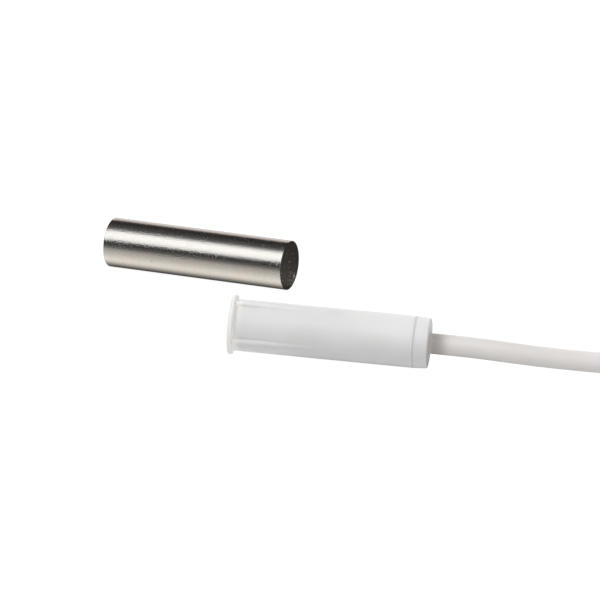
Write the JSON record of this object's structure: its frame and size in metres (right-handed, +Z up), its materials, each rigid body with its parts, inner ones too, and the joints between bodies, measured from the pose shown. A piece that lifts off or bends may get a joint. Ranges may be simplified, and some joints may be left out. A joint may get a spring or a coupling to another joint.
{
  "type": "magnetic contact",
  "caption": "Flush-mount magnetic contact: flanged white barrel switch on a cored lead, with a plain round bar magnet.",
  "frame": {"origin": "on the table, under the middle of the space that the switch and the magnet take up together", "axes": "+X runs level from the switch's front face towards its lead, +Y towards the magnet, +Z up from the table"},
  "size_m": [0.1372, 0.0632, 0.0164],
  "materials": {
    "white_abs": "smooth moulded white ABS with a soft gloss",
    "cap_abs": "smooth moulded white ABS",
    "board_laminate": "glass-epoxy laminate with green solder resist",
    "track_copper": "plated copper foil",
    "solder": "bright tin solder",
    "reed_glass": "clear faintly green glass",
    "reed_metal": "plated nickel-iron",
    "core_white": "PVC insulation",
    "core_brown": "PVC insulation",
    "core_green": "PVC insulation",
    "core_yellow": "PVC insulation",
    "wire_copper": "stranded copper",
    "lead_pvc": "satin white PVC jacket",
    "ring_brass": "crimped brass",
    "magnet_metal": "ground bare magnet alloy with fine lines round it",
    "tie_plastic": "plastic-covered wire tie",
    "tinned_wire": "tinned strands"
  },
  "bodies": {
    "base": {"housing": "white_abs", "rear_cap": "cap_abs", "carrier_board": "board_laminate", "board_tracks": "track_copper", "solder_joints": "solder", "reed_glass": "reed_glass", "front_reed_lead": "reed_metal", "rear_reed_lead": "reed_metal", "white_core": "core_white", "brown_core": "core_brown", "green_core": "core_green", "yellow_core": "core_yellow", "white_wire": "wire_copper", "brown_wire": "wire_copper", "green_wire": "wire_copper", "yellow_wire": "wire_copper", "lead_jacket": "lead_pvc", "crimp_ring": "ring_brass", "magnet": "magnet_metal", "cable": "lead_pvc", "cable_coil": "lead_pvc", "cable_tail": "lead_pvc", "coil_tie": "tie_plastic", "white_end": "core_white", "brown_end": "core_brown", "green_end": "core_green", "yellow_end": "core_yellow", "tinned_tips": "tinned_wire"},
    "front_blade": {"front_reed_blade": "reed_metal"},
    "rear_blade": {"rear_reed_blade": "reed_metal"}
  },
  "joints": [
    {"name": "front_blade_flex", "type": "hinge", "parent": "base", "child": "front_blade", "pos_m": [0.00435, -0.02697, 0.00514], "axis": [0, -1, 0], "range_deg": [0, 0.507], "stiffness_Nm_per_rad": 0.036},
    {"name": "rear_blade_flex", "type": "hinge", "parent": "base", "child": "rear_blade", "pos_m": [0.01535, -0.02697, 0.0049], "axis": [0, -1, 0], "range_deg": [0, 0.507], "stiffness_Nm_per_rad": 0.036}
  ]
}
